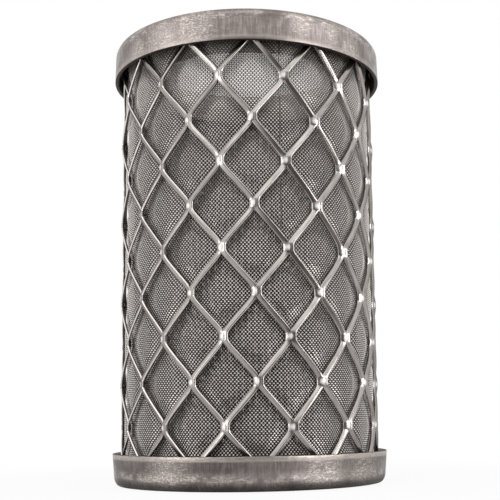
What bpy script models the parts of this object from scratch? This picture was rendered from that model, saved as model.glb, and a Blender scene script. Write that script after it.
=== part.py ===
"""Cylindrical pressure filter element: wire cloth inside raised expanded metal, held between two pressed caps.

The element stands on its bottom cap, +Z up, with its origin in the middle of the bottom face.
Angles round it are counted from the front (-Y) towards the right (+X).
"""

import math

import bmesh
import bpy

MM = 0.001

# Overall
ELEMENT_HEIGHT = 96.0 * MM
CLEARANCE = 0.3 * MM
TURNING_STEPS = 40

# Expanded metal: the outside of the sleeve, and the strand that its sheet was slit and pulled into
SLEEVE_DIAMETER = 57.0 * MM
STRAND_WIDTH = 1.1 * MM
STRAND_SHEET = 0.55 * MM
STRAND_TILT = math.radians(24.0)
DIAMONDS_ROUND = 13
DIAMOND_HEIGHT = 17.64 * MM
KNUCKLE_CORE = 2.1 * MM
KNUCKLE_SIDE = 1.1 * MM
STRAND_BEND = 0.7 * MM
BEND_LAG = 0.4
LATTICE_LEAN = math.radians(0.87)
LATTICE_TURN = math.radians(-9.6)
LOWEST_KNUCKLE = 3.7 * MM

# Wire cloth: one wall with the raised weave pattern and a slot behind each full diamond
CLOTH_WALL = 0.5 * MM
WEAVE_RELIEF = 0.2 * MM
SLOT_WIDTH = 1.5 * MM

# Pressed end caps: one sheet drawn to a ring with an outer and an inner skirt
CAP_SHEET = 0.8 * MM
CAP_SKIRT = 6.8 * MM
CAP_INNER_SKIRT = 7.5 * MM
CAP_DRAFT = math.radians(4.0)
CAP_OUTER_BEND = 1.3 * MM
CAP_INNER_BEND = 1.3 * MM
CAP_CHANNEL = 1.4 * MM
BEND_STEPS = 2

# Sealing compound in the foot of each channel
BOND_FLOOR = 0.5 * MM
BOND_HEIGHT = 3.2 * MM
BOND_MENISCUS = 0.4 * MM

# Worked-out radii, from the sleeve outwards and inwards
SLEEVE_OUT = SLEEVE_DIAMETER / 2
SLEEVE_MID = SLEEVE_OUT - STRAND_WIDTH * math.sin(STRAND_TILT) - STRAND_SHEET / 2 * math.cos(STRAND_TILT)
SLEEVE_IN = 2 * SLEEVE_MID - SLEEVE_OUT
CLOTH_OUT = SLEEVE_IN - CLEARANCE
CLOTH_IN = CLOTH_OUT - CLOTH_WALL
SKIRT_FOOT = SLEEVE_OUT + CLEARANCE + CAP_SHEET
BORE = CLOTH_IN - CAP_CHANNEL - CAP_SHEET

# Worked-out heights: the channel's floor, the compound on it, then the ends of the two sleeves
BOND_BASE = CAP_SHEET + CLEARANCE
SLEEVE_FOOT = BOND_BASE + BOND_FLOOR + CLEARANCE
SLEEVE_HEAD = ELEMENT_HEIGHT - SLEEVE_FOOT

STAINLESS_CAP = ((0.47, 0.44, 0.42), 0.42, 1.0)
STAINLESS_STRAND = ((0.55, 0.52, 0.49), 0.32, 1.0)
STAINLESS_CLOTH = ((0.33, 0.31, 0.29), 0.38, 1.0)
CURED_COMPOUND = ((0.10, 0.09, 0.08), 0.55, 0.0)


def clear_scene():
    for thing in list(bpy.data.objects):
        bpy.data.objects.remove(thing, do_unlink=True)


def make_material(name, finish):
    colour, roughness, metallic = finish
    material = bpy.data.materials.new(name)
    material.use_nodes = True
    shader = material.node_tree.nodes["Principled BSDF"]
    shader.inputs["Base Color"].default_value = (*colour, 1.0)
    shader.inputs["Roughness"].default_value = roughness
    shader.inputs["Metallic"].default_value = metallic
    return material


def add_part(name, mesh, material, collection):
    part = bpy.data.objects.new(name, mesh)
    part.data.materials.append(material)
    collection.objects.link(part)
    return part


def add_screw(part):
    screw = part.modifiers.new("turned", "SCREW")
    screw.axis = "Z"
    screw.steps = TURNING_STEPS
    screw.render_steps = TURNING_STEPS
    screw.use_merge_vertices = True
    screw.merge_threshold = 0.00001
    screw.use_smooth_shade = True


def add_wall(part, thickness, offset):
    wall = part.modifiers.new("sheet", "SOLIDIFY")
    wall.thickness = thickness
    wall.offset = offset
    wall.use_even_offset = True


def profile_mesh(name, points, closed):
    """A line of (radius, height) points in the XZ plane, at +X, for the Screw modifier."""
    mesh = bpy.data.meshes.new(name)
    edges = [(n, n + 1) for n in range(len(points) - 1)]
    if closed:
        edges.append((len(points) - 1, 0))
    mesh.from_pydata([(radius, 0.0, height) for radius, height in points], edges, [])
    return mesh


def arc(centre, radius, start, end, steps):
    """Points of an arc in the profile plane, angles in degrees from the outward direction."""
    points = []
    for n in range(steps + 1):
        angle = math.radians(start + (end - start) * n / steps)
        points.append((centre[0] + radius * math.cos(angle), centre[1] + radius * math.sin(angle)))
    return points


def polar(radius, angle, height):
    """A point at an angle from the front of the element, counted towards its right."""
    return (radius * math.sin(angle), -radius * math.cos(angle), height)


def build_cap(name, material, collection):
    """The pressed ring as the bottom cap: outer skirt, flat web and inner skirt from one sheet."""
    draft_degrees = math.degrees(CAP_DRAFT)
    rim = SKIRT_FOOT + (CAP_SKIRT - CAP_OUTER_BEND) * math.tan(CAP_DRAFT)
    outer_centre = (SKIRT_FOOT - CAP_OUTER_BEND, CAP_OUTER_BEND)
    inner_centre = (BORE + CAP_INNER_BEND, CAP_INNER_BEND)
    points = [(rim, CAP_SKIRT)]
    points += arc(outer_centre, CAP_OUTER_BEND, -draft_degrees, -90.0, BEND_STEPS)
    points += arc(inner_centre, CAP_INNER_BEND, -90.0, -180.0, BEND_STEPS)
    points.append((BORE, CAP_INNER_SKIRT))
    cap = add_part(name, profile_mesh(name, points, closed=False), material, collection)
    add_screw(cap)
    add_wall(cap, CAP_SHEET, -1.0)
    return cap


def build_bond(name, material, collection):
    """The cured ring: a floor below the sleeves' ends, and a fillet between cloth and inner skirt."""
    skirt_side = BORE + CAP_SHEET + CLEARANCE
    cloth_side = CLOTH_IN - WEAVE_RELIEF - CLEARANCE
    floor_top = BOND_BASE + BOND_FLOOR
    points = [
        (SLEEVE_OUT, floor_top),
        (SLEEVE_OUT, BOND_BASE),
        (skirt_side, BOND_BASE),
        (skirt_side, BOND_HEIGHT),
        ((skirt_side + cloth_side) / 2, BOND_HEIGHT - BOND_MENISCUS),
        (cloth_side, BOND_HEIGHT),
        (cloth_side, floor_top),
    ]
    bond = add_part(name, profile_mesh(name, points, closed=True), material, collection)
    add_screw(bond)
    return bond


def turn_over(part):
    """Stand a copy of a bottom-end piece on its head at the top of the element."""
    part.location = (0.0, 0.0, ELEMENT_HEIGHT)
    part.rotation_euler = (math.pi, 0.0, 0.0)


def column_angle(column, height):
    """Angle of a knuckle column, which leans a little as the sheet was rolled a little askew."""
    pitch = math.pi / DIAMONDS_ROUND
    return LATTICE_TURN + pitch * column - height * math.tan(LATTICE_LEAN) / SLEEVE_MID


class Lattice:
    """The strand network as one open surface, laid out flat and wrapped on the sleeve's mid radius."""

    def __init__(self):
        self.mesh = bmesh.new()
        self.corners = {}
        self.columns = 2 * DIAMONDS_ROUND
        self.half_row = DIAMOND_HEIGHT / 2

    def row_height(self, row):
        return LOWEST_KNUCKLE + self.half_row * row

    def place(self, column, height, across):
        """A vertex at a distance across the strand's tilted width from the knuckle column's middle."""
        angle = column_angle(column, height) + across * math.cos(STRAND_TILT) / SLEEVE_MID
        radius = SLEEVE_MID + across * math.sin(STRAND_TILT)
        return self.mesh.verts.new(polar(radius, angle, height))

    def knuckle(self, column, row):
        """Lower and upper corners of a knuckle at its left side, core and right side."""
        key = (column % self.columns, row)
        if key not in self.corners:
            middle = self.row_height(row)
            rows = []
            for end in (-1, 1):
                side = middle + end * KNUCKLE_SIDE / 2
                core = middle + end * KNUCKLE_CORE / 2
                rows.append([
                    self.place(key[0], side, -STRAND_WIDTH),
                    self.place(key[0], core, 0.0),
                    self.place(key[0], side, STRAND_WIDTH),
                ])
            low, high = rows
            self.mesh.faces.new((low[0], low[1], high[1], high[0]))
            self.mesh.faces.new((low[1], low[2], high[2], high[1]))
            self.corners[key] = rows
        return self.corners[key]

    def strand(self, column, row, side):
        """A strand from a knuckle's head up to the foot of the next one, to the right or left."""
        start = self.knuckle(column, row)[1]
        end = self.knuckle(column + side, row + 1)[0]
        start_pair = start[1:] if side > 0 else start[:2]
        end_pair = end[:2] if side > 0 else end[1:]
        rise = self.half_row - (KNUCKLE_CORE + KNUCKLE_SIDE) / 2
        bend = STRAND_BEND / rise
        lag = bend * BEND_LAG
        stations = [(bend, bend - lag), (1.0 - bend, 1.0 - bend + lag)]
        middle_row = self.row_height(row)
        across = (0.0, STRAND_WIDTH) if side > 0 else (-STRAND_WIDTH, 0.0)
        previous = start_pair
        for along, sideways in stations:
            pair = []
            for n in range(2):
                outer = (n == 1) == (side > 0)
                foot = middle_row + (KNUCKLE_SIDE if outer else KNUCKLE_CORE) / 2
                height = foot + rise * along
                shift = across[n] - side * STRAND_WIDTH * along
                pair.append(self.place(column + side * sideways, height, shift))
            self.mesh.faces.new((previous[0], previous[1], pair[1], pair[0]))
            previous = pair
        self.mesh.faces.new((previous[0], previous[1], end_pair[1], end_pair[0]))

    def cut(self, height, upwards):
        """Trim the sheet square to its height: what lies beyond the plane is cut off."""
        geometry = self.mesh.verts[:] + self.mesh.edges[:] + self.mesh.faces[:]
        normal = (0.0, 0.0, 1.0 if upwards else -1.0)
        bmesh.ops.bisect_plane(
            self.mesh, geom=geometry, plane_co=(0.0, 0.0, height), plane_no=normal, clear_outer=True)


def build_expanded_metal(name, material, collection):
    lattice = Lattice()
    lowest = -math.ceil((LOWEST_KNUCKLE - SLEEVE_FOOT) / lattice.half_row) - 1
    highest = math.ceil((SLEEVE_HEAD - LOWEST_KNUCKLE) / lattice.half_row)
    for row in range(lowest, highest + 1):
        for column in range(lattice.columns):
            if (column + row) % 2 == 1:
                lattice.strand(column, row, 1)
                lattice.strand(column, row, -1)
    lattice.cut(SLEEVE_HEAD, upwards=True)
    lattice.cut(SLEEVE_FOOT, upwards=False)
    mesh = bpy.data.meshes.new(name)
    lattice.mesh.to_mesh(mesh)
    lattice.mesh.free()
    sleeve = add_part(name, mesh, material, collection)
    add_wall(sleeve, STRAND_SHEET, 0.0)
    return sleeve


def build_wire_cloth(name, material, collection):
    """The cloth wall: a rolled grid with its over-and-under relief, and a slot behind each full diamond."""
    half_row = DIAMOND_HEIGHT / 2
    columns = 2 * DIAMONDS_ROUND
    slot_half_angle = SLOT_WIDTH / 2 / CLOTH_OUT
    first = math.ceil((SLEEVE_FOOT - LOWEST_KNUCKLE) / half_row + 0.5)
    last = math.floor((SLEEVE_HEAD - LOWEST_KNUCKLE) / half_row - 0.5)
    levels = [LOWEST_KNUCKLE + half_row * (row - 0.5) for row in range(first, last + 2)]
    heights = [SLEEVE_FOOT] + levels + [SLEEVE_HEAD]
    grid = bmesh.new()
    middle = (CLOTH_OUT + CLOTH_IN) / 2
    rings = []
    for level, height in enumerate(heights):
        ring = []
        for column in range(columns):
            for edge, side in enumerate((-1, 1)):
                relief = WEAVE_RELIEF * (1 if (level + edge) % 2 else -1) / 2
                angle = column_angle(column, height) + side * slot_half_angle
                ring.append(grid.verts.new(polar(middle + relief, angle, height)))
        rings.append(ring)
    for level in range(len(heights) - 1):
        row = first + level - 1
        full_row = 0 < level < len(heights) - 2
        for place in range(2 * columns):
            column = place // 2
            in_slot = place % 2 == 0 and full_row and (column + row) % 2 == 0
            if in_slot:
                continue
            beside = (place + 1) % (2 * columns)
            low, high = rings[level], rings[level + 1]
            grid.faces.new((low[place], low[beside], high[beside], high[place]))
    mesh = bpy.data.meshes.new(name)
    grid.to_mesh(mesh)
    grid.free()
    cloth = add_part(name, mesh, material, collection)
    add_wall(cloth, CLOTH_WALL - WEAVE_RELIEF, 0.0)
    return cloth


def build_element():
    collection = bpy.data.collections.new("pressure_filter_element")
    bpy.context.scene.collection.children.link(collection)
    cap_steel = make_material("pressed stainless sheet", STAINLESS_CAP)
    strand_steel = make_material("stainless expanded metal", STAINLESS_STRAND)
    cloth_steel = make_material("stainless wire cloth", STAINLESS_CLOTH)
    compound = make_material("cured sealing compound", CURED_COMPOUND)
    build_cap("bottom_end_cap", cap_steel, collection)
    build_bond("bottom_bond_ring", compound, collection)
    build_wire_cloth("wire_cloth_sleeve", cloth_steel, collection)
    build_expanded_metal("expanded_metal_sleeve", strand_steel, collection)
    turn_over(build_bond("top_bond_ring", compound, collection))
    turn_over(build_cap("top_end_cap", cap_steel, collection))


clear_scene()
build_element()
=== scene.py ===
import math

import bmesh
import bpy
from mathutils import Matrix, Vector, noise


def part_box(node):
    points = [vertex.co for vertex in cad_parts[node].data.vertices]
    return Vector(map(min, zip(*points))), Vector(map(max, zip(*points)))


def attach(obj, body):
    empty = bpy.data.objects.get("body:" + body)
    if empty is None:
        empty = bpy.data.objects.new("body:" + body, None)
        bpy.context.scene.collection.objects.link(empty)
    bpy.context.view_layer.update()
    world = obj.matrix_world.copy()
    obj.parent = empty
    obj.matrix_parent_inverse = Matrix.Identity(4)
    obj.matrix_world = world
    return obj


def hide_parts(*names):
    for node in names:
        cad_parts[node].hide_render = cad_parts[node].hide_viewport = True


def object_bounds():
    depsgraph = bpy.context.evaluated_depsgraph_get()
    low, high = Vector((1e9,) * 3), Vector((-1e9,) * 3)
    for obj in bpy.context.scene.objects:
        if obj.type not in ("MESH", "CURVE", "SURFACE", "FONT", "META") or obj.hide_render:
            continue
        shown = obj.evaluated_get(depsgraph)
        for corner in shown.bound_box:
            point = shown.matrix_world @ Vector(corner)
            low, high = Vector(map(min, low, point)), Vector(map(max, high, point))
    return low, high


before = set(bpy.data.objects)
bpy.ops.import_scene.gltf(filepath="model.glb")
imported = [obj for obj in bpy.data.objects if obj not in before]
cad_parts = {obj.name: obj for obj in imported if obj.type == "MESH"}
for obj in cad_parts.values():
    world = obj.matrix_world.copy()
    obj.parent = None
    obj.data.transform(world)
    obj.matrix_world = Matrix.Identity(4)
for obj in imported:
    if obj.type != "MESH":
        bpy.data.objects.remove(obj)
cad_low, cad_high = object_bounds()

# Camera
# The element is seen from its front and from low down, so the top cap shows its underside.
# Sizes are in metres, angles in degrees; a film 36 mm wide gives a picture of 500 pixels.
mm = 0.001
element_height = cad_high.z - cad_low.z
picture_pixels = 500
film_width = 36.0
camera_distance = 214.4 * mm
camera_height = 14.3 * mm
camera_pan = 2.45
camera_tilt = 6.6
camera_roll = 0.77
focal_pixels = 960.0
axis_pixel = (290.0, 305.0)
nearest_seen = 10.0 * mm


def add_object(name, data):
    """A new object in the scene, at the origin."""
    thing = bpy.data.objects.new(name, data)
    bpy.context.scene.collection.objects.link(thing)
    return thing


def place_camera():
    """Turn the camera by its pan, tilt and roll, and shift its frame off the optical axis."""
    lens = bpy.data.cameras.new("camera")
    lens.sensor_width = film_width
    lens.lens = focal_pixels / picture_pixels * film_width
    lens.shift_x = (picture_pixels / 2 - axis_pixel[0]) / picture_pixels
    lens.shift_y = (axis_pixel[1] - picture_pixels / 2) / picture_pixels
    lens.clip_start = nearest_seen
    pan = Matrix.Rotation(math.radians(-camera_pan), 4, "Z")
    tilt = Matrix.Rotation(math.radians(90.0 + camera_tilt), 4, "X")
    roll = Matrix.Rotation(math.radians(-camera_roll), 4, "Z")
    camera = add_object("camera", lens)
    camera.matrix_world = Matrix.Translation((0.0, -camera_distance, camera_height)) @ pan @ tilt @ roll
    bpy.context.scene.camera = camera


place_camera()


# End caps
# Two rings pressed from 0.8 mm stainless sheet, U-shaped in section; the top one's outer bend is tighter.
# They were drawn in a die, which left lines along the skirts, then pickled, handled and scuffed.
cap_sheet = 0.8 * mm
cap_skirt = 6.8 * mm
cap_inner_skirt = 7.5 * mm
cap_rim_radius = cad_high.x - 0.02 * mm
cap_bore_radius = 24.1 * mm
# the skirt's radius where it meets the bend, and how far the bend reaches across and along the skirt
cap_bottom_bend = (29.6 * mm, 1.2 * mm, 2.3 * mm)
cap_top_bend = (29.8 * mm, 0.95 * mm, 1.4 * mm)
cap_inner_bend = 1.3 * mm
cap_edge = 0.16 * mm
cap_steps = 192
# each cap's node, its outer bend, whether it is turned over, and where its small errors start
caps = (("bottom_end_cap", cap_bottom_bend, False, 3.1), ("top_end_cap", cap_top_bend, True, 8.4))
ring_sharp = math.radians(50)
# out of round in slow waves and short dents, and burred along the rims
cap_wobble = 0.05 * mm
cap_burr = 0.05 * mm
wobble_waves, wobble_rise = 1.6, 6 * mm
dent_waves, dent_rise, dent_share = 9.0, 3 * mm, 0.4
burr_waves, burr_reach = 60.0, 4 * cap_edge
# the places that are worn most, on the front where the highlights fall, so their bright colour is partly a
# painted highlight: x, y, z and how far the wear reaches, in millimetres
worn_spots = (
    (-11.0, -27.8, 92.6, 6.5), (-17.5, -24.3, 91.4, 6.0), (-23.0, -19.0, 90.4, 4.0),
    (11.0, -27.8, 93.4, 4.0), (17.5, -24.3, 93.0, 4.5), (21.5, -21.0, 90.8, 5.0),
    (15.0, -25.8, 3.2, 7.0), (23.0, -19.0, 3.6, 7.0), (-17.0, -24.6, 3.0, 6.0))


def linear(hex_colour):
    """The linear colour of an sRGB hex value."""
    channels = []
    for start in (0, 2, 4):
        value = int(hex_colour[start:start + 2], 16) / 255
        channels.append(value / 12.92 if value <= 0.04045 else ((value + 0.055) / 1.055) ** 2.4)
    return (*channels, 1.0)


def add_node(tree, kind, settings=None, inputs=None):
    """Add a node, set its attributes, and set or link its inputs by name or number."""
    node = tree.nodes.new(kind)
    for name, value in (settings or {}).items():
        setattr(node, name, value)
    for name, value in (inputs or {}).items():
        if isinstance(value, bpy.types.NodeSocket):
            tree.links.new(value, node.inputs[name])
        else:
            node.inputs[name].default_value = value
    return node


def bend_points(centre, across, along, start, end, count):
    """Points of a bend in the section, with its angles in degrees from the outward direction."""
    points = []
    for n in range(count + 1):
        angle = math.radians(start + (end - start) * n / count)
        points.append((centre[0] + across * math.cos(angle), centre[1] + along * math.sin(angle)))
    return points


def between(first, last, count):
    """Points on the way from one place in the section to another, without the two ends."""
    steps = range(1, count)
    return [tuple(a + (b - a) * n / count for a, b in zip(first, last)) for n in steps]


def cap_section(foot_radius, bend_across, bend_along):
    """The pressed ring's closed section: down the outer skirt, in along the web, up the bore, and back."""
    rim = cap_rim_radius
    outer_bend = (foot_radius - bend_across, bend_along)
    inner_bend = (cap_bore_radius + cap_inner_bend, cap_inner_bend)
    inner_bend_in = cap_inner_bend - cap_sheet

    def edge(radius, top, start):
        return bend_points((radius, top - cap_edge), cap_edge, cap_edge, start, start - 90, 3)

    skirt_edge = edge(rim - cap_edge, cap_skirt, 90)
    outside = bend_points(outer_bend, bend_across, bend_along, 0, -90, 10)
    bore = bend_points(inner_bend, cap_inner_bend, cap_inner_bend, -90, -180, 8)
    bore_edge = edge(cap_bore_radius + cap_edge, cap_inner_skirt, 180)
    channel_edge = edge(cap_bore_radius + cap_sheet - cap_edge, cap_inner_skirt, 90)
    channel_in = bend_points(inner_bend, inner_bend_in, inner_bend_in, 180, 270, 5)
    channel_out = bend_points(
        outer_bend, max(bend_across - cap_sheet, cap_edge), bend_along - cap_sheet, 270, 360, 6)
    rim_edge = edge(rim - cap_sheet + cap_edge, cap_skirt, 180)
    section = skirt_edge + between(skirt_edge[-1], outside[0], 8) + outside
    section += between(outside[-1], bore[0], 4) + bore + between(bore[-1], bore_edge[0], 6) + bore_edge
    section += channel_edge + between(channel_edge[-1], channel_in[0], 4) + channel_in
    section += channel_out + between(channel_out[-1], rim_edge[0], 4) + rim_edge
    return section


def turned_piece(name, section, steps, shape):
    """A ring turned from a closed section. The shape function moves each point before it is placed."""
    points = []
    for step in range(steps):
        angle = 2 * math.pi * step / steps
        for radius, height in section:
            radius, height = shape(radius, angle, height)
            points.append((radius * math.sin(angle), -radius * math.cos(angle), height))
    count = len(section)
    faces = []
    for step in range(steps):
        here, there = step * count, (step + 1) % steps * count
        for n in range(count):
            after = (n + 1) % count
            faces.append((here + n, here + after, there + after, there + n))
    mesh = bpy.data.meshes.new(name)
    mesh.from_pydata(points, [], faces)
    shell = bmesh.new()
    shell.from_mesh(mesh)
    bmesh.ops.recalc_face_normals(shell, faces=shell.faces)
    shell.to_mesh(mesh)
    shell.free()
    mesh.shade_smooth()
    mesh.set_sharp_from_angle(angle=ring_sharp)
    return add_object(name, mesh)


def cap_shape(base, turned_over, seed):
    """The small errors of a pressed ring that was handled: out of round, and burred along its rims."""
    def shape(radius, angle, height):
        around = Vector((math.cos(angle), math.sin(angle), 0.0))
        slow = noise.noise(around * wobble_waves + Vector((0.0, 0.0, height / wobble_rise + seed)))
        dent = noise.noise(around * dent_waves + Vector((0.0, 0.0, height / dent_rise + seed * 2)))
        burr = noise.noise(around * burr_waves + Vector((0.0, 0.0, seed * 3)))
        free = min(1.0, max(0.0, (height - cap_sheet) / cap_skirt))
        rim = max(0.0, (height - cap_skirt + burr_reach) / burr_reach)
        radius += -abs(slow) * cap_wobble * free - abs(dent) * dent_share * cap_wobble * free
        height += (burr - 0.5) * cap_burr * min(rim, 1.0)
        return radius, base + (element_height - height if turned_over else height)
    return shape


def new_material(name):
    """A plain material, with its node tree and its surface shader."""
    material = bpy.data.materials.new(name)
    material.use_nodes = True
    return material, material.node_tree, material.node_tree.nodes["Principled BSDF"]


def maths(tree, operation, first, second=0.0, third=0.0):
    """The result of an operation on plain values."""
    return add_node(tree, "ShaderNodeMath", {"operation": operation}, {
        0: first, 1: second, 2: third}).outputs[0]


def vector_maths(tree, operation, first, second=(0.0, 0.0, 0.0), scale=1.0):
    """The result of an operation on vectors: a plain value for a distance, a length or a dot product."""
    plain = operation in ("DISTANCE", "DOT_PRODUCT", "LENGTH")
    return add_node(tree, "ShaderNodeVectorMath", {"operation": operation}, {
        0: first, 1: second, 3: scale}).outputs[1 if plain else 0]


def parts_of(tree, vector):
    """The X, Y and Z of a vector."""
    return add_node(tree, "ShaderNodeSeparateXYZ", inputs={0: vector}).outputs


def blend_range(tree, value, low, high, at_low=0.0, at_high=1.0, kind="SMOOTHSTEP"):
    """From one result at low to another at high: a smooth step, or a straight line if LINEAR."""
    return add_node(tree, "ShaderNodeMapRange", {"interpolation_type": kind}, {
        "Value": value, "From Min": low, "From Max": high, "To Min": at_low,
        "To Max": at_high}).outputs[0]


def mixed(tree, share, first, second, blend="MIX"):
    """A colour between two others, or the first one multiplied by the second."""
    return add_node(tree, "ShaderNodeMix", {"data_type": "RGBA", "blend_type": blend}, {
        0: share, 6: first, 7: second}).outputs[2]


def cap_steel():
    """Pickled 304 sheet: warm grey satin, brushed upright, worn at the bend, with scuffs that are also
    painted highlights at the front, painted shade at the foot and dark brown painted shade on its sheared
    ends.
    """
    material, tree, shader = new_material("pressed stainless sheet, worn")
    place = add_node(tree, "ShaderNodeTexCoord").outputs["Object"]
    height = parts_of(tree, place)["Z"]

    def grains(size_round, size_up, detail):
        sized = vector_maths(tree, "MULTIPLY", place, (1 / size_round, 1 / size_round, 1 / size_up))
        return add_node(tree, "ShaderNodeTexNoise", inputs={
            "Vector": sized, "Scale": 1.0, "Detail": detail, "Roughness": 0.65}).outputs[0]

    middle = element_height / 2
    from_middle = maths(tree, "ABSOLUTE", maths(tree, "SUBTRACT", height, middle))
    from_end = maths(tree, "SUBTRACT", middle, from_middle)
    stains = grains(8 * mm, 5 * mm, 4.0)
    brush_lines = grains(0.4 * mm, 5 * mm, 3.0)
    level_scratches = grains(1.3 * mm, 0.17 * mm, 3.0)
    grain = grains(0.45 * mm, 0.3 * mm, 4.0)
    breaks = grains(4 * mm, 2.5 * mm, 3.0)
    # satin skin with stains of handling, and the upright lines of the brush that cleaned it
    tone = mixed(tree, blend_range(tree, stains, 0.36, 0.66), linear("746C69"), linear("968D89"))
    tone = mixed(tree, blend_range(tree, breaks, 0.35, 0.6, 0.25, 0.8), tone,
                 blend_range(tree, brush_lines, 0.3, 0.7, 0.62, 1.38), "MULTIPLY")
    # the shoulder of the bend is rubbed bright in short level scratches, most of all along one line
    tighter_bend = blend_range(tree, height, middle - mm, middle + mm, 0.0, 1.1 * mm)
    wavering = maths(tree, "MULTIPLY_ADD", stains, 1.2 * mm, maths(tree, "ADD", from_end, tighter_bend))
    shoulder = maths(tree, "MULTIPLY", blend_range(tree, wavering, 2.2 * mm, 2.8 * mm),
                     blend_range(tree, wavering, 4.4 * mm, 3.1 * mm))
    scuffed = maths(tree, "MULTIPLY", blend_range(tree, breaks, 0.36, 0.58), shoulder)
    # worn patches on the front of each cap, lightened as scuffs and also as painted highlights where the
    # highlights fall
    for x, y, z, reach in worn_spots:
        distance = vector_maths(tree, "DISTANCE", place, (x * mm, y * mm, z * mm))
        uneven = maths(tree, "SUBTRACT", stains, 0.5)
        ragged = maths(tree, "MULTIPLY_ADD", uneven, 2.2 * reach * mm, distance)
        scuffed = maths(tree, "MAXIMUM", scuffed, blend_range(tree, ragged, reach * mm, 0.1 * reach * mm))
    coarse = maths(tree, "MULTIPLY", level_scratches, 0.7)
    scratched = blend_range(tree, maths(tree, "MULTIPLY_ADD", grain, 0.7, coarse), 0.66, 0.86)
    tone = mixed(tree, maths(tree, "MULTIPLY", scuffed, 0.5), tone, linear("AAA19C"))
    tone = mixed(tree, maths(tree, "MULTIPLY", scuffed, scratched), tone, linear("D6CDC6"))
    # the bottom skirt is darker above its shoulder
    dried = maths(tree, "MULTIPLY", blend_range(tree, height, 3.2 * mm, 4.4 * mm),
                  blend_range(tree, height, middle, 10 * mm))
    tone = mixed(tree, dried, tone, linear("E2E2E2"), "MULTIPLY")
    # the last millimetre before the rim was burnished by the trimming die, less so at the top cap
    rim_band = blend_range(tree, from_end, cap_skirt - 1.3 * mm, cap_skirt - 0.8 * mm)
    burnish = maths(tree, "MULTIPLY", blend_range(tree, level_scratches, 0.35, 0.65, 0.5, 1.0),
                    blend_range(tree, height, middle - mm, middle + mm, 1.0, 0.4))
    tone = mixed(tree, maths(tree, "MULTIPLY", rim_band, burnish), tone, linear("BAB1AA"))
    # pits, painted shade on the foot where the bend meets the floor, and the sheared ends of the rims,
    # painted dark brown as shade
    tone = mixed(tree, 1.0, tone, blend_range(tree, grain, 0.30, 0.36, 0.35, 1.0), "MULTIPLY")
    # painted shade: the lowest two millimetres of the bottom cap are darkened
    tone = mixed(tree, 1.0, tone, blend_range(tree, height, 0.7 * mm, 2.2 * mm, 0.36, 1.0), "MULTIPLY")
    normal = add_node(tree, "ShaderNodeNewGeometry").outputs["Normal"]
    level = maths(tree, "ABSOLUTE", parts_of(tree, normal)["Z"])
    # painted shade: the level sheared ends of the rims are dark brown, and rougher
    lip = maths(tree, "MULTIPLY", blend_range(tree, level, 0.35, 0.7),
                blend_range(tree, from_end, 4 * mm, 5 * mm))
    tone = mixed(tree, lip, tone, linear("4A403B"))
    tree.links.new(tone, shader.inputs["Base Color"])
    shader.inputs["Metallic"].default_value = 1.0
    rough = blend_range(tree, stains, 0.3, 0.7, 0.42, 0.34)
    rough = maths(tree, "MULTIPLY_ADD", scuffed, 0.08, rough)
    tree.links.new(maths(tree, "MULTIPLY_ADD", lip, 0.25, rough), shader.inputs["Roughness"])
    relief = maths(tree, "MULTIPLY_ADD", brush_lines, 0.8, grain)
    relief = maths(tree, "MULTIPLY_ADD", scratched, scuffed, relief)
    bump = add_node(tree, "ShaderNodeBump", inputs={
        "Strength": 0.45, "Distance": 0.03 * mm, "Height": relief})
    tree.links.new(bump.outputs[0], shader.inputs["Normal"])
    return material


def make_caps():
    steel = cap_steel()
    for name, bend, turned_over, seed in caps:
        shape = cap_shape(cad_low.z, turned_over, seed)
        cap = turned_piece(name + "_pressing", cap_section(*bend), cap_steps, shape)
        cap.data.materials.append(steel)
        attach(cap, "root")
        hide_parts(name)


make_caps()


# Bond rings
# Sealing compound poured into the foot of each cap's channel round the ends of the two sleeves.
# It cured with a slightly hollow surface and closes the way between the cloth and the inner skirt.
bond_steps = 160
bond_gap = 0.3 * mm
bond_floor = 0.5 * mm
bond_height = 3.2 * mm
bond_outside = 28.5 * mm
bond_cloth_side = 25.8 * mm
bond_hollow = 0.35 * mm
bond_hollow_steps = 6
bond_ripple = 2 * mm


def bond_section():
    """The cured ring's closed section: the floor under the sleeves and the fillet inside the cloth."""
    low = cap_sheet + bond_gap
    floor_top = low + bond_floor
    skirt_side = cap_bore_radius + cap_sheet + bond_gap
    section = [(bond_outside, floor_top), (bond_outside, low), (skirt_side, low), (skirt_side, bond_height)]
    width = bond_cloth_side - skirt_side
    for n in range(1, bond_hollow_steps):
        share = n / bond_hollow_steps
        sag = bond_hollow * math.sin(math.pi * share)
        section.append((skirt_side + width * share, bond_height - sag))
    section += [(bond_cloth_side, bond_height), (bond_cloth_side, floor_top)]
    return section


def sealing_compound():
    """Cured compound: nearly black, half matt, a little uneven from pouring."""
    material, tree, shader = new_material("cured sealing compound")
    place = add_node(tree, "ShaderNodeTexCoord").outputs["Object"]
    ripple = add_node(tree, "ShaderNodeTexNoise", inputs={
        "Vector": place, "Scale": 1 / bond_ripple}).outputs[0]
    bump = add_node(tree, "ShaderNodeBump", inputs={
        "Strength": 0.5, "Distance": 0.2 * mm, "Height": ripple})
    tree.links.new(mixed(tree, ripple, linear("2B2725"), linear("4A433E")), shader.inputs["Base Color"])
    tree.links.new(bump.outputs[0], shader.inputs["Normal"])
    shader.inputs["Roughness"].default_value = 0.5
    return material


def make_bonds():
    compound = sealing_compound()
    for name, turned_over in (("bottom_bond_ring", False), ("top_bond_ring", True)):
        def shape(radius, angle, height, over=turned_over):
            return radius, cad_low.z + (element_height - height if over else height)
        bond = turned_piece(name + "_cured", bond_section(), bond_steps, shape)
        bond.data.materials.append(compound)
        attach(bond, "root")
        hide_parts(name)


make_bonds()


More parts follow.
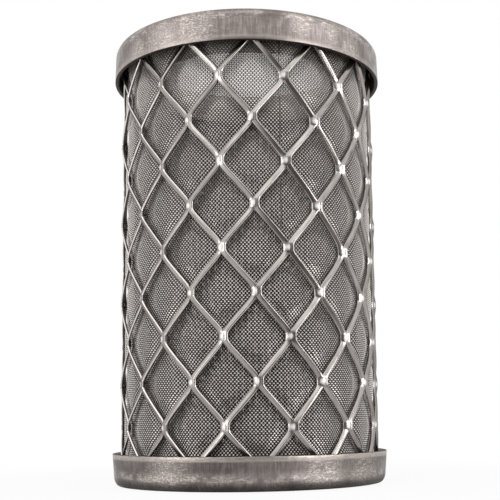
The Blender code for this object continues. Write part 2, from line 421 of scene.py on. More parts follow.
# Expanded metal
# One stainless sheet of 0.55 mm, slit and pulled into diamonds in a press, then rolled round the cloth.
# It was never flattened: each strand is a tilted ribbon whose right edge stands out with its cut side.
lattice_low, lattice_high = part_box("expanded_metal_sleeve")
strand_width = 1.1 * mm
strand_sheet = 0.55 * mm
strand_tilt = math.radians(24.0)
strand_right_across = 0.20 * mm
strand_right_deep = 0.40 * mm
strand_right_steps = 3
strand_left_round = 0.10 * mm
strand_left_steps = 1
strand_round_grows = 0.12
strand_curl = 0.13 * mm
strand_curl_width = 0.45 * mm
strand_columns = (0.24, 0.41, 0.58)
strand_back_column = 0.45
strand_steps = 14
strand_bend = 0.06
strand_lag = 0.75
diamonds_round = 13
diamond_height = 17.64 * mm
knuckle_core = 2.1 * mm
knuckle_side = 1.1 * mm
knuckle_steps = 8
knuckle_bead = 0.23 * mm
knuckle_bead_across = -0.18 * mm
knuckle_bead_width = 0.42 * mm
knuckle_bead_length = 0.95 * mm
lattice_rows = 14
lattice_outside = 28.5 * mm
lattice_middle = (lattice_outside - strand_width * math.sin(strand_tilt)
                  - strand_sheet / 2 * math.cos(strand_tilt))
lattice_turn = math.radians(-9.6)
lattice_lean = math.radians(0.87)
lowest_knuckle = 3.45 * mm
lattice_uneven = 0.09 * mm
lattice_wander = 7 * mm
strand_patches = 6 * mm
strand_sharp = math.radians(48)
cell_weld = 0.001 * mm
lattice_weld = 0.002 * mm
# about how long and how wide a strand is, in millimetres, for the marks along it
strand_marked = (9.0, 1.1)


def geometry_tree(name, labels):
    """A Geometry Nodes tree with named inputs of each kind, and its input sockets and output node."""
    tree = bpy.data.node_groups.new(name, "GeometryNodeTree")
    for kind, names in labels.items():
        for label in names:
            tree.interface.new_socket(label, in_out="INPUT", socket_type="NodeSocket" + kind)
    tree.interface.new_socket("Geometry", in_out="OUTPUT", socket_type="NodeSocketGeometry")
    return tree, add_node(tree, "NodeGroupInput").outputs, add_node(tree, "NodeGroupOutput")


def grown_piece(name, tree, values):
    """The plain mesh that a tree makes with these sizes."""
    piece = add_object(name, bpy.data.meshes.new(name))
    modifier = piece.modifiers.new("grown", "NODES")
    modifier.node_group = tree
    for item in tree.interface.items_tree:
        if item.item_type == "SOCKET" and item.in_out == "INPUT":
            modifier[item.identifier] = values[item.name]
    graph = bpy.context.evaluated_depsgraph_get()
    mesh = bpy.data.meshes.new_from_object(piece.evaluated_get(graph))
    mesh.name = name
    piece.modifiers.remove(modifier)
    piece.data = mesh
    return piece


def sideways_share(share):
    """How far round a strand is at a share of its rise: it bends out of the knuckle, then runs straight."""
    def swept(at):
        start = strand_lag * strand_bend * (math.exp(-at / strand_bend) - 1)
        end = strand_lag * strand_bend * (math.exp(-(1 - at) / strand_bend) - math.exp(-1 / strand_bend))
        return at + start - end
    return swept(share) / swept(1.0)


def bead_share(across, from_knuckle):
    """1 on top of the bead that the press leaves in the middle of a knuckle, falling to 0 round it."""
    return math.exp(-((across - knuckle_bead_across) / knuckle_bead_width) ** 2
                    - (from_knuckle / knuckle_bead_length) ** 2)


def strand_section(across, from_knuckle):
    """A point of the sheet's middle in its section and the way out of its face, as (round, outwards)."""
    def out(at):
        curled = max(0.0, (strand_curl_width - strand_width - at) / strand_curl_width)
        return (at * math.sin(strand_tilt) - strand_curl * curled ** 2
                + knuckle_bead * bead_share(at, from_knuckle))
    step = 0.02 * mm
    drop = out(across - step) - out(across + step)
    face = Vector((drop, 2 * step * math.cos(strand_tilt))).normalized()
    return Vector((across * math.cos(strand_tilt), out(across))), face


def strand_outline(left_share, right_share):
    """The strand's closed section as shares of its width and thickness, from its left back corner.

    The right side is rounded where the slitting knife entered, and the left side a little. A share of 0
    leaves that side square, as it is where the strand is still part of its knuckle.
    """
    outline = [(0.0, 1.0)]
    for n in range(strand_left_steps + 1):
        angle = math.pi / 2 * n / strand_left_steps
        outline.append((strand_left_round * left_share / strand_width * (1 - math.cos(angle)),
                        strand_left_round * left_share / strand_sheet * (1 - math.sin(angle))))
    outline += [(share, 0.0) for share in strand_columns]
    for n in range(strand_right_steps + 1):
        angle = math.pi / 2 * n / strand_right_steps
        outline.append((1 - strand_right_across * right_share / strand_width * (1 - math.sin(angle)),
                        strand_right_deep * right_share / strand_sheet * (1 - math.cos(angle))))
    outline += [(1.0, 1.0), (strand_back_column, 1.0)]
    return outline


def knuckle_cell():
    """One knuckle and the two strands that rise from it, laid out flat: X round, Y outwards, Z up.

    Each row is the strand's closed section. The right side is marked as a rim, and the UV map holds the
    length along the strand and the share of its width.
    """
    cell = bmesh.new()
    layer = cell.loops.layers.uv.new("strand")
    rim = cell.faces.layers.bool.new("rim")
    rubbed = cell.verts.layers.float.new("rubbed")
    cut_depth = cell.verts.layers.float.new("cut depth")
    half_pitch = math.pi / diamonds_round * lattice_middle
    rise = diamond_height / 2 - (knuckle_core + knuckle_side) / 2
    left_side = 0
    right_side = strand_left_steps + len(strand_columns) + strand_right_steps + 2
    rounded = right_side - strand_right_steps + 1

    def row(around, left, left_up, right_up, left_share, right_share):
        points = []
        for share, depth in strand_outline(left_share, right_share):
            across = left + strand_width * share
            up = left_up + (right_up - left_up) * share
            from_knuckle = min(abs(up), diamond_height / 2 - up)
            place, face = strand_section(across, from_knuckle)
            place += face * (0.5 - depth) * strand_sheet
            vert = cell.verts.new((around + place.x, place.y, up))
            vert[rubbed] = bead_share(across, from_knuckle)
            vert[cut_depth] = depth
            points.append((vert, share))
        return points

    def ribbon(rows, start, left_cut, right_cut):
        for n, (low, high) in enumerate(zip(rows, rows[1:])):
            lengths = [start + (n + step) / (len(rows) - 1) for step in (0, 1)]
            for k in range(len(low)):
                if (k == left_side and not left_cut) or (k == right_side and not right_cut):
                    continue
                after = (k + 1) % len(low)
                corners = (low[k], low[after], high[after], high[k])
                face = cell.faces.new([vert for vert, _ in corners])
                face[rim] = rounded <= k <= right_side
                for loop, (_, share), length in zip(face.loops, corners, (0, 0, 1, 1)):
                    loop[layer].uv = (lengths[length], share)

    heights = {-1: (knuckle_side, knuckle_core), 1: (knuckle_core, knuckle_side)}
    steps = [2 * n / knuckle_steps - 1 for n in range(knuckle_steps + 1)]
    for side, left in ((-1, -strand_width), (1, 0.0)):
        left_high, right_high = heights[side]
        rows = [row(0.0, left, step * left_high / 2, step * right_high / 2,
                    float(side < 0), float(side > 0)) for step in steps]
        ribbon(rows, 0.0, side < 0, side > 0)
    for side, start in ((-1, -strand_width), (1, 0.0)):
        left_high, right_high = heights[side]
        rows = []
        for n in range(strand_steps + 1):
            share = (1 - math.cos(math.pi * n / strand_steps)) / 2
            free = [min(1.0, at / strand_round_grows) for at in (share, 1 - share)]
            left_share, right_share = free[::side]
            rows.append(row(side * half_pitch * sideways_share(share), start - side * strand_width * share,
                            left_high / 2 + rise * share, right_high / 2 + rise * share,
                            left_share, right_share))
        ribbon(rows, 1.0, True, True)
    bmesh.ops.remove_doubles(cell, verts=cell.verts, dist=cell_weld)
    mesh = bpy.data.meshes.new("knuckle cell")
    cell.to_mesh(mesh)
    cell.free()
    return add_object("knuckle cell", mesh)


def lattice_tree():
    """Copies the knuckle cell to every other place of a grid, and wraps the flat sheet to a cylinder."""
    tree, sizes, result = geometry_tree("expanded metal", {
        "Object": ("Cell",), "Int": ("Columns", "Rows"), "Material": ("Face material", "Cut material"),
        "Float": ("Column width", "Row height", "Foot", "Radius", "Turn", "Lean", "Unevenness")})
    here = add_node(tree, "GeometryNodeInputPosition").outputs[0]
    index = add_node(tree, "GeometryNodeInputIndex").outputs[0]
    line = add_node(tree, "GeometryNodeMeshLine", inputs={
        "Count": maths(tree, "MULTIPLY", sizes["Columns"], sizes["Rows"])})
    column = maths(tree, "MODULO", index, sizes["Columns"])
    row = maths(tree, "FLOOR", maths(tree, "DIVIDE", index, sizes["Columns"]))
    spot = add_node(tree, "ShaderNodeCombineXYZ", inputs={
        "X": maths(tree, "MULTIPLY", column, sizes["Column width"]),
        "Z": maths(tree, "MULTIPLY_ADD", row, sizes["Row height"], sizes["Foot"])})
    grid = add_node(tree, "GeometryNodeSetPosition", inputs={
        "Geometry": line.outputs[0], "Position": spot.outputs[0]})
    odd = maths(tree, "MODULO", maths(tree, "ADD", column, row), 2.0)
    cell = add_node(tree, "GeometryNodeObjectInfo", inputs={"Object": sizes["Cell"]})
    placed = add_node(tree, "GeometryNodeInstanceOnPoints", inputs={
        "Points": grid.outputs[0], "Selection": odd, "Instance": cell.outputs["Geometry"]})
    flat = add_node(tree, "GeometryNodeRealizeInstances", inputs={0: placed.outputs[0]})
    parts = parts_of(tree, here)
    angle = maths(tree, "DIVIDE", parts["X"], sizes["Radius"])
    askew = maths(tree, "MULTIPLY_ADD", parts["Z"], maths(tree, "MULTIPLY", sizes["Lean"], -1.0),
                  maths(tree, "ADD", angle, sizes["Turn"]))
    radius = maths(tree, "ADD", parts["Y"], sizes["Radius"])
    back = maths(tree, "MULTIPLY", maths(tree, "COSINE", askew), -1.0)
    wrapped = add_node(tree, "ShaderNodeCombineXYZ", inputs={
        "X": maths(tree, "MULTIPLY", radius, maths(tree, "SINE", askew)),
        "Y": maths(tree, "MULTIPLY", radius, back), "Z": parts["Z"]})
    rolled = add_node(tree, "GeometryNodeSetPosition", inputs={
        "Geometry": flat.outputs[0], "Position": wrapped.outputs[0]})
    joined = add_node(tree, "GeometryNodeMergeByDistance", inputs={
        "Geometry": rolled.outputs[0], "Distance": lattice_weld})
    wander = add_node(tree, "ShaderNodeTexNoise", inputs={
        "Scale": 1 / lattice_wander, "Detail": 1.0, "Vector": here}).outputs["Color"]
    centred = vector_maths(tree, "SUBTRACT", wander, (0.5, 0.5, 0.5))
    uneven = add_node(tree, "GeometryNodeSetPosition", inputs={
        "Geometry": joined.outputs[0],
        "Offset": vector_maths(tree, "SCALE", centred, scale=sizes["Unevenness"])})
    faces = add_node(tree, "GeometryNodeSetMaterial", inputs={
        "Geometry": uneven.outputs[0], "Material": sizes["Face material"]})
    cut_sides = add_node(tree, "GeometryNodeInputNamedAttribute", {"data_type": "BOOLEAN"}, {
        "Name": "rim"})
    both = add_node(tree, "GeometryNodeSetMaterial", inputs={
        "Geometry": faces.outputs[0], "Selection": cut_sides.outputs[0],
        "Material": sizes["Cut material"]})
    tree.links.new(both.outputs[0], result.inputs[0])
    return tree


def strand_streaks(tree, along, across):
    """Marks along the strands, as the press left them, this long and wide in millimetres.

    With them come the length along the strand and the share of its width.
    """
    parts = parts_of(tree, add_node(tree, "ShaderNodeUVMap", {"uv_map": "strand"}).outputs[0])
    place = add_node(tree, "ShaderNodeTexCoord").outputs["Object"]
    each_its_own = vector_maths(tree, "DOT_PRODUCT", place, (0.10 / mm, 0.07 / mm, 0.05 / mm))
    marks = add_node(tree, "ShaderNodeCombineXYZ", inputs={
        "X": maths(tree, "MULTIPLY", parts["X"], strand_marked[0] / along),
        "Y": maths(tree, "MULTIPLY", parts["Y"], strand_marked[1] / across),
        "Z": each_its_own})
    streaks = add_node(tree, "ShaderNodeTexNoise", inputs={
        "Vector": marks.outputs[0], "Scale": 1.0, "Detail": 3.0, "Roughness": 0.6}).outputs[0]
    return streaks, parts["X"], parts["Y"]


def strand_steel():
    """Pulled 304 sheet: bright faces with marks along them, a painted line of shade before the cut edge,
    and beads with a painted highlight.
    """
    material, tree, shader = new_material("expanded stainless sheet")
    streaks, _, width_share = strand_streaks(tree, 2.5, 0.16)
    patches = add_node(tree, "ShaderNodeTexNoise", inputs={
        "Vector": add_node(tree, "ShaderNodeTexCoord").outputs["Object"],
        "Scale": 1 / strand_patches, "Detail": 3.0}).outputs[0]
    tone = mixed(tree, patches, linear("99938E"), linear("BBB6B2"))
    streaked = blend_range(tree, streaks, 0.32, 0.62, 0.62, 1.12, "LINEAR")
    tone = mixed(tree, 1.0, tone, streaked, "MULTIPLY")
    # painted shade: a darker line along each strand just before its rounded cut edge
    tone = mixed(tree, 1.0, tone, blend_range(tree, width_share, 0.66, 0.80, 1.0, 0.8), "MULTIPLY")
    # the beads stand highest and were rubbed bright; their near-white colour, with rougher and less
    # metallic steel, is also a painted highlight
    rubbed = add_node(tree, "ShaderNodeAttribute", {"attribute_name": "rubbed"}).outputs["Fac"]
    bright = blend_range(tree, rubbed, 0.35, 0.8)
    tone = mixed(tree, bright, tone, linear("EAE7E4"))
    rough = blend_range(tree, bright, 0.0, 1.0, 0.24, 0.5, "LINEAR")
    metal = blend_range(tree, bright, 0.0, 1.0, 1.0, 0.4, "LINEAR")
    bump = add_node(tree, "ShaderNodeBump", inputs={
        "Strength": 0.5, "Distance": 0.03 * mm, "Height": streaks})
    tree.links.new(tone, shader.inputs["Base Color"])
    tree.links.new(bump.outputs[0], shader.inputs["Normal"])
    tree.links.new(rough, shader.inputs["Roughness"])
    tree.links.new(metal, shader.inputs["Metallic"])
    shader.inputs["Specular Tint"].default_value = linear("B0B0B0")
    return material


def sheared_edge():
    """The cut side of the sheet: burnished bright where the knife entered, then torn and dark."""
    material, tree, shader = new_material("sheared stainless edge")
    marks, length, _ = strand_streaks(tree, 0.5, 1.0)
    deep = add_node(tree, "ShaderNodeAttribute", {"attribute_name": "cut depth"}).outputs["Fac"]
    tone = mixed(tree, marks, linear("D2CBC5"), linear("F2EEEA"))
    tone = mixed(tree, blend_range(tree, deep, 0.40, 0.65), tone, linear("4E4743"))
    # painted shade: beside a knuckle the cut side is darkened
    tone = mixed(tree, 1.0, tone, blend_range(tree, length, 0.98, 1.10, 0.45, 1.0), "MULTIPLY")
    tree.links.new(tone, shader.inputs["Base Color"])
    shader.inputs["Metallic"].default_value = 1.0
    shader.inputs["Roughness"].default_value = 0.36
    return material


def trim_sheet(mesh, low, high):
    """Cut the rolled sheet square at both ends, as its shears did."""
    sheet = bmesh.new()
    sheet.from_mesh(mesh)
    for height, direction in ((high, 1.0), (low, -1.0)):
        bmesh.ops.bisect_plane(
            sheet, geom=sheet.verts[:] + sheet.edges[:] + sheet.faces[:], plane_co=(0.0, 0.0, height),
            plane_no=(0.0, 0.0, direction), clear_outer=True)
    open_edges = [edge for edge in sheet.edges if edge.is_boundary]
    bmesh.ops.holes_fill(sheet, edges=open_edges, sides=0)
    bmesh.ops.recalc_face_normals(sheet, faces=sheet.faces)
    sheet.to_mesh(mesh)
    sheet.free()


def make_lattice():
    cell = knuckle_cell()
    lattice = grown_piece("expanded_metal_rolled", lattice_tree(), {
        "Cell": cell, "Columns": 2 * diamonds_round, "Rows": lattice_rows,
        "Column width": math.pi / diamonds_round * lattice_middle, "Row height": diamond_height / 2,
        "Foot": lowest_knuckle - diamond_height, "Radius": lattice_middle, "Turn": lattice_turn,
        "Lean": math.tan(lattice_lean) / lattice_middle, "Unevenness": lattice_uneven,
        "Face material": strand_steel(), "Cut material": sheared_edge()})
    bpy.data.objects.remove(cell, do_unlink=True)
    trim_sheet(lattice.data, lattice_low.z, lattice_high.z)
    lattice.data.shade_smooth()
    lattice.data.set_sharp_from_angle(angle=strand_sharp)
    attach(lattice, "root")
    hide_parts("expanded_metal_sleeve")


make_lattice()


# Wire cloth
# Plain-woven stainless cloth, rolled to a cylinder with its lap at the front right and swelled out a little
# between the strands. The upright wires run nearly straight, the level ones pass over and under them.
# Wire of 0.19 mm is too fine to show in the render, so it is drawn as thick as it needs to show.
cloth_low, cloth_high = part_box("wire_cloth_sleeve")
warp_count = 468
weft_pitch = 0.403 * mm
weft_bands = 4
warp_stations = 56
wire = 0.24 * mm
wire_crimp = 0.145 * mm
wire_turn = math.radians(42.0)
wire_corners = 3
wire_corner_reach = 1.2
wire_sharp = math.radians(100)
wire_spacing = 2 * math.pi / warp_count
cloth_radius = cloth_high.x - 0.13 * mm
cloth_pillow = 0.56 * mm
cloth_plateau = 0.5
cloth_patches = 11 * mm
# heights between which the cloth's darkening towards the bottom fades out, the painted light near the top
# starts, the film starts and the painted shadow inside the top cap starts
cloth_dirty = (5 * mm, 52 * mm)
cloth_clean = (73 * mm, 80 * mm)
cloth_filmed = (84.5 * mm, 88.5 * mm)
cloth_in_cap = (85 * mm, 88 * mm)
lap_angle = math.radians(13.2)
lap_clearer = (44 * mm, 52 * mm)


def away_from_axis(tree, place):
    """The level direction from the element's axis to a place."""
    return vector_maths(tree, "NORMALIZE", vector_maths(tree, "MULTIPLY", place, (1.0, 1.0, 0.0)))


def angle_round(tree, parts):
    """The angle round the element of a place, from the front towards its right."""
    return maths(tree, "ARCTAN2", parts["X"], maths(tree, "MULTIPLY", parts["Y"], -1.0))


def along_axis(tree, value):
    """A vector up the element's axis, which is a turn round it where a rotation is asked for."""
    return add_node(tree, "ShaderNodeCombineXYZ", inputs={"Z": value}).outputs[0]


def pillow_offset(tree, height):
    """The cloth's swell into each diamond: it rises beside the strands and is level across the middle."""
    here = add_node(tree, "GeometryNodeInputPosition").outputs[0]
    parts = parts_of(tree, here)
    leaned = maths(tree, "MULTIPLY_ADD", parts["Z"], math.tan(lattice_lean) / lattice_middle,
                   maths(tree, "SUBTRACT", angle_round(tree, parts), lattice_turn))
    column = maths(tree, "MULTIPLY", leaned, diamonds_round / math.pi)
    row = maths(tree, "DIVIDE", maths(tree, "SUBTRACT", parts["Z"], lowest_knuckle), diamond_height / 2)
    rises = []
    for operation in ("ADD", "SUBTRACT"):
        along = maths(tree, operation, column, row)
        wave = maths(tree, "COSINE", maths(tree, "MULTIPLY", along, math.pi / 2))
        rises.append(maths(tree, "MULTIPLY", wave, wave))
    swell = blend_range(tree, maths(tree, "MULTIPLY", *rises), 0.0, cloth_plateau)
    rise = maths(tree, "MULTIPLY", swell, height)
    return vector_maths(tree, "SCALE", away_from_axis(tree, here), scale=rise)


def worn_flats(tree, geometry):
    """Wire that is smooth along its run, with a clear edge between the flats that wear left on it."""
    smooth = add_node(tree, "GeometryNodeSetShadeSmooth", inputs={0: geometry})
    edge_angle = add_node(tree, "GeometryNodeInputMeshEdgeAngle").outputs["Unsigned Angle"]
    return add_node(tree, "GeometryNodeSetShadeSmooth", {"domain": "EDGE"}, {
        0: smooth.outputs[0], "Selection": maths(tree, "GREATER_THAN", edge_angle, wire_sharp),
        "Shade Smooth": False}).outputs[0]


def wire_section(tree, thickness):
    """A wire's section: three corners, set a little further out than the round wire's surface."""
    return add_node(tree, "GeometryNodeCurvePrimitiveCircle", inputs={
        "Resolution": wire_corners,
        "Radius": maths(tree, "MULTIPLY", thickness, 0.5 * wire_corner_reach)}).outputs[0]


def finish_wires(tree, placed, sizes, result):
    """Turn the placed copies into one mesh, swell it into the diamonds and give it its steel."""
    real = add_node(tree, "GeometryNodeRealizeInstances", inputs={0: placed.outputs[0]})
    pillowed = add_node(tree, "GeometryNodeSetPosition", inputs={
        "Geometry": real.outputs[0], "Offset": pillow_offset(tree, sizes["Pillow"])})
    steel = add_node(tree, "GeometryNodeSetMaterial", inputs={
        "Geometry": worn_flats(tree, pillowed.outputs[0]), "Material": sizes["Material"]})
    tree.links.new(steel.outputs[0], result.inputs[0])
    return tree


def weft_tree():
    """Level wires: a crimped ring for each, stacked, every other one turned by one upright wire."""
    tree, sizes, result = geometry_tree("weft rings", {
        "Int": ("Warps", "Rings", "First ring"), "Material": ("Material",),
        "Float": ("Radius", "Pitch", "Foot", "Wire", "Crimp", "Pillow")})
    circle = add_node(tree, "GeometryNodeMeshCircle", inputs={
        "Vertices": sizes["Warps"], "Radius": sizes["Radius"]})
    index = add_node(tree, "GeometryNodeInputIndex").outputs[0]
    side = maths(tree, "MULTIPLY_ADD", maths(tree, "MODULO", index, 2.0), -2.0, 1.0)
    outward = vector_maths(tree, "NORMALIZE", add_node(tree, "GeometryNodeInputPosition").outputs[0])
    lift = maths(tree, "MULTIPLY", side, sizes["Crimp"])
    crimped = add_node(tree, "GeometryNodeSetPosition", inputs={
        "Geometry": circle.outputs[0], "Offset": vector_maths(tree, "SCALE", outward, scale=lift)})
    marked = add_node(tree, "GeometryNodeStoreNamedAttribute", {"data_type": "FLOAT", "domain": "POINT"}, {
        "Geometry": crimped.outputs[0], "Name": "crown", "Value": side})
    path = add_node(tree, "GeometryNodeMeshToCurve", inputs={0: marked.outputs[0]})
    turned = add_node(tree, "GeometryNodeTransform", inputs={
        "Geometry": wire_section(tree, sizes["Wire"]), "Rotation": (0.0, 0.0, wire_turn)})
    ring = add_node(tree, "GeometryNodeCurveToMesh", inputs={
        "Curve": path.outputs[0], "Profile Curve": turned.outputs[0]})
    stack = add_node(tree, "GeometryNodeMeshLine", inputs={
        "Count": sizes["Rings"], "Start Location": along_axis(tree, sizes["Foot"]),
        "Offset": along_axis(tree, sizes["Pitch"])})
    every_other = maths(tree, "MODULO", maths(tree, "ADD", index, sizes["First ring"]), 2.0)
    turn = maths(tree, "MULTIPLY", every_other, maths(tree, "DIVIDE", 2 * math.pi, sizes["Warps"]))
    placed = add_node(tree, "GeometryNodeInstanceOnPoints", inputs={
        "Points": stack.outputs[0], "Instance": ring.outputs[0], "Rotation": along_axis(tree, turn)})
    return finish_wires(tree, placed, sizes, result)


def warp_tree():
    """Upright wires: one straight wire, copied round the cylinder."""
    tree, sizes, result = geometry_tree("upright wires", {
        "Int": ("Warps",), "Material": ("Material",),
        "Float": ("Radius", "Foot", "Head", "Wire", "Pillow")})
    line = add_node(tree, "GeometryNodeCurvePrimitiveLine", inputs={
        "Start": along_axis(tree, sizes["Foot"]), "End": along_axis(tree, sizes["Head"])})
    stations = add_node(tree, "GeometryNodeResampleCurve", inputs={
        "Curve": line.outputs[0], "Count": warp_stations})
    upright = add_node(tree, "GeometryNodeCurveToMesh", inputs={
        "Curve": stations.outputs[0], "Profile Curve": wire_section(tree, sizes["Wire"]),
        "Fill Caps": True})
    circle = add_node(tree, "GeometryNodeMeshCircle", inputs={
        "Vertices": sizes["Warps"], "Radius": sizes["Radius"]})
    facing = maths(tree, "MULTIPLY", add_node(tree, "GeometryNodeInputIndex").outputs[0],
                   maths(tree, "DIVIDE", 2 * math.pi, sizes["Warps"]))
    placed = add_node(tree, "GeometryNodeInstanceOnPoints", inputs={
        "Points": circle.outputs[0], "Instance": upright.outputs[0], "Rotation": along_axis(tree, facing)})
    return finish_wires(tree, placed, sizes, result)


def cloth_wire():
    """Drawn stainless wire: bright crowns, painted shade in the recesses, painted light on the flanks, near
    the top and inside, darker low down.
    """
    material, tree, shader = new_material("drawn stainless wire")
    place = add_node(tree, "ShaderNodeTexCoord").outputs["Object"]
    parts = parts_of(tree, place)
    height = parts["Z"]
    patches = add_node(tree, "ShaderNodeTexNoise", inputs={
        "Vector": place, "Scale": 1 / cloth_patches, "Detail": 4.0}).outputs[0]
    crown = add_node(tree, "ShaderNodeAttribute", {"attribute_name": "crown"}).outputs["Fac"]
    # painted light: the side that looks into the bore, both flanks and the cloth near the top cap are
    # coloured lighter
    outward = away_from_axis(tree, place)
    normal = add_node(tree, "ShaderNodeNewGeometry").outputs["Normal"]
    inside = blend_range(tree, vector_maths(tree, "DOT_PRODUCT", outward, normal), 0.1, -0.3)
    flank = blend_range(tree, parts_of(tree, outward)["Y"], -0.96, -0.72, 0.0, 0.8)
    upper = blend_range(tree, height, *cloth_clean)
    # painted shade: the wire is coloured dark where it dips under another, as the shade in the recesses
    recess = mixed(tree, flank, linear("2E2A28"), linear("605A55"))
    recess = mixed(tree, upper, recess, linear("7A746F"))
    recess = mixed(tree, inside, recess, linear("C0B9B3"))
    crowns = mixed(tree, patches, linear("BDB6B0"), linear("D8D2CC"))
    # painted light: the crowns too are lighter on both flanks and near the top cap
    crowns = mixed(tree, maths(tree, "MAXIMUM", flank, upper), crowns, linear("F2EDE8"))
    cloth = mixed(tree, blend_range(tree, crown, -0.1, 0.5), recess, crowns)
    # the cloth's lap: a thin shadow to the right of its outer edge, clearer in the upper half
    past_lap = maths(tree, "SUBTRACT", angle_round(tree, parts), lap_angle)
    beside = maths(tree, "MULTIPLY",
                   blend_range(tree, past_lap, 0.25 * wire_spacing, 0.55 * wire_spacing),
                   blend_range(tree, past_lap, 1.45 * wire_spacing, 1.15 * wire_spacing))
    seen_lap = maths(tree, "MULTIPLY", beside, blend_range(tree, height, *lap_clearer, 0.15, 0.6))
    cloth = mixed(tree, seen_lap, cloth, linear("4A4541"))
    # darker towards the bottom, and a painted shadow of the cap on the cloth inside the top cap
    cloth = mixed(tree, 1.0, cloth, blend_range(tree, height, *cloth_dirty, 0.84, 1.0), "MULTIPLY")
    cloth = mixed(tree, 1.0, cloth, blend_range(tree, height, *cloth_in_cap, 1.0, 0.72), "MULTIPLY")
    # in the top cap, in the bore and less so on the flanks, a pale film is left on the wire
    covered = blend_range(tree, height, *cloth_filmed)
    filmed = maths(tree, "MAXIMUM", maths(tree, "MAXIMUM", covered, inside),
                   blend_range(tree, flank, 0.0, 1.0, 0.0, 0.7))
    tree.links.new(cloth, shader.inputs["Base Color"])
    tree.links.new(blend_range(tree, filmed, 0.0, 1.0, 0.66, 0.3), shader.inputs["Metallic"])
    shader.inputs["Roughness"].default_value = 0.42
    return material


def make_cloth():
    steel = cloth_wire()
    foot = cloth_low.z + wire
    head = cloth_high.z - wire
    rings = int((head - foot) / weft_pitch) + 1
    weft = weft_tree()
    pieces = []
    per_band = math.ceil(rings / weft_bands)
    for band in range(weft_bands):
        first = band * per_band
        count = min(per_band, rings - first)
        pieces.append(grown_piece("wire_cloth_weft_%d" % (band + 1), weft, {
            "Warps": warp_count, "Rings": count, "First ring": first, "Radius": cloth_radius,
            "Pitch": weft_pitch, "Foot": foot + first * weft_pitch, "Wire": wire,
            "Crimp": wire_crimp, "Pillow": cloth_pillow, "Material": steel}))
    pieces.append(grown_piece("wire_cloth_warp", warp_tree(), {
        "Warps": warp_count, "Radius": cloth_radius, "Foot": cloth_low.z, "Head": cloth_high.z,
        "Wire": wire, "Pillow": cloth_pillow, "Material": steel}))
    for piece in pieces:
        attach(piece, "root")
        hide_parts("wire_cloth_sleeve")


make_cloth()


# Floor and studio
# A pale floor that fades into a white backdrop behind and beside the element, with its shadow on it.
# The room in front is darker, and the light comes from one large soft lamp above and two small ones.
floor_radius = 3.0
floor_steps = 96
floor_gap = 0.05 * mm
floor_near = 60.0 * mm
room_dark_side = math.radians(3.0)
floor_dark_side = math.radians(24.0)
# each lamp's name, place, width and height, and its power in watts
lamps = (
    ("overhead lamp", (-0.05, -0.53, 0.58), (0.9, 0.5), 1.3),
    ("left lamp", (-0.60, -0.38, 0.13), (0.34, 0.34), 1.2),
    ("right lamp", (0.56, -0.45, 0.13), (0.34, 0.34), 2.3),
)


def dark_side(tree, place, heading_angle):
    """1 towards a dark side of the room, this far to the right of the front, and 0 elsewhere."""
    heading = (math.sin(heading_angle), -math.cos(heading_angle), 0.0)
    facing = vector_maths(tree, "DOT_PRODUCT", away_from_axis(tree, place), heading)
    return blend_range(tree, facing, 0.60, 0.88)


def seen_share(tree, backdrop):
    """1 for camera rays, and for reflected and passing rays where they meet the backdrop."""
    path = add_node(tree, "ShaderNodeLightPath").outputs
    bounced = maths(tree, "MAXIMUM", path["Is Glossy Ray"], path["Is Transmission Ray"])
    return add_node(tree, "ShaderNodeMath", {"operation": "MULTIPLY_ADD", "use_clamp": True}, {
        0: bounced, 1: backdrop, 2: path["Is Camera Ray"]}).outputs[0]


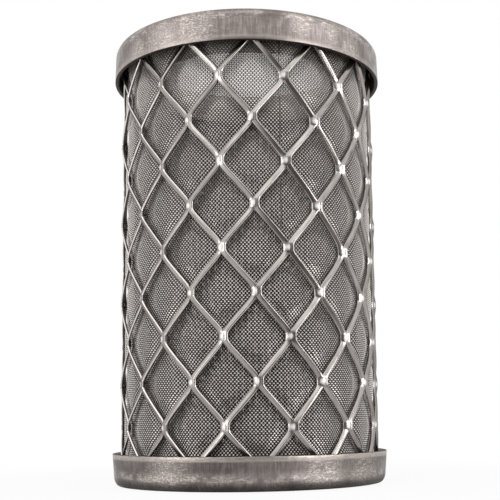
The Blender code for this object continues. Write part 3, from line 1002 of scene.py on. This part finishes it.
def studio_world():
    """White behind the element and pale above it; the room in front is darker towards the ground."""
    world = bpy.data.worlds.new("studio")
    world.use_nodes = True
    tree = world.node_tree
    direction = add_node(tree, "ShaderNodeTexCoord").outputs["Generated"]
    parts = parts_of(tree, direction)
    backdrop = blend_range(tree, parts["Y"], -0.1, 0.6)
    low = blend_range(tree, dark_side(tree, direction, room_dark_side), 0.0, 1.0, 0.95, 0.12)
    rising = blend_range(tree, parts["Z"], 0.0, 0.72)
    walls = maths(tree, "ADD", blend_range(tree, parts["X"], -0.2, -0.9, 0.88, 1.30),
                  blend_range(tree, parts["X"], 0.2, 0.9, 0.0, 0.32))
    room = add_node(tree, "ShaderNodeMix", {"data_type": "FLOAT"}, {
        0: rising, 2: low, 3: walls}).outputs[0]
    strength = add_node(tree, "ShaderNodeMix", {"data_type": "FLOAT"}, {
        0: seen_share(tree, backdrop), 2: room, 3: 1.0}).outputs[0]
    background = tree.nodes["Background"]
    background.inputs["Color"].default_value = (1.0, 1.0, 1.0, 1.0)
    tree.links.new(strength, background.inputs["Strength"])
    bpy.context.scene.world = world


def studio_floor():
    """A disc of board: pale and shadowed near the element, white further off, dark grey in front."""
    mesh = bpy.data.meshes.new("floor")
    disc = bmesh.new()
    bmesh.ops.create_circle(disc, cap_ends=True, radius=floor_radius, segments=floor_steps)
    disc.to_mesh(mesh)
    disc.free()
    mesh.transform(Matrix.Translation((0.0, 0.0, cad_low.z - floor_gap)))
    floor = add_object("floor", mesh)
    material, tree, shader = new_material("pale board")
    shader.inputs["Roughness"].default_value = 0.9
    place = add_node(tree, "ShaderNodeTexCoord").outputs["Object"]
    far = blend_range(tree, vector_maths(tree, "LENGTH", place), floor_near, 2 * floor_near)
    dark = maths(tree, "MULTIPLY", far, dark_side(tree, place, floor_dark_side))
    tree.links.new(mixed(tree, dark, linear("DCDCDC"), linear("463C37")), shader.inputs["Base Color"])
    share = seen_share(tree, maths(tree, "SUBTRACT", far, dark))
    whitened = blend_range(tree, far, 0.0, 1.0, 0.90, 1.0, "LINEAR")
    white = add_node(tree, "ShaderNodeEmission", inputs={"Color": (1.0, 1.0, 1.0, 1.0), "Strength": 1.0})
    blend = add_node(tree, "ShaderNodeMixShader", inputs={
        0: maths(tree, "MULTIPLY", share, whitened), 1: shader.outputs[0], 2: white.outputs[0]})
    tree.links.new(blend.outputs[0], tree.nodes["Material Output"].inputs["Surface"])
    floor.data.materials.append(material)


def hang_lamps():
    aim = Vector((0.0, 0.0, element_height / 2))
    for name, place, size, power in lamps:
        light = bpy.data.lights.new(name, "AREA")
        light.shape = "RECTANGLE"
        light.size, light.size_y = size
        light.energy = power
        lamp = add_object(name, light)
        lamp.location = place
        lamp.rotation_euler = (aim - Vector(place)).to_track_quat("-Z", "Y").to_euler()
        lamp.visible_camera = False


studio_world()
studio_floor()
hang_lamps()
bpy.context.scene.view_settings.view_transform = "Standard"
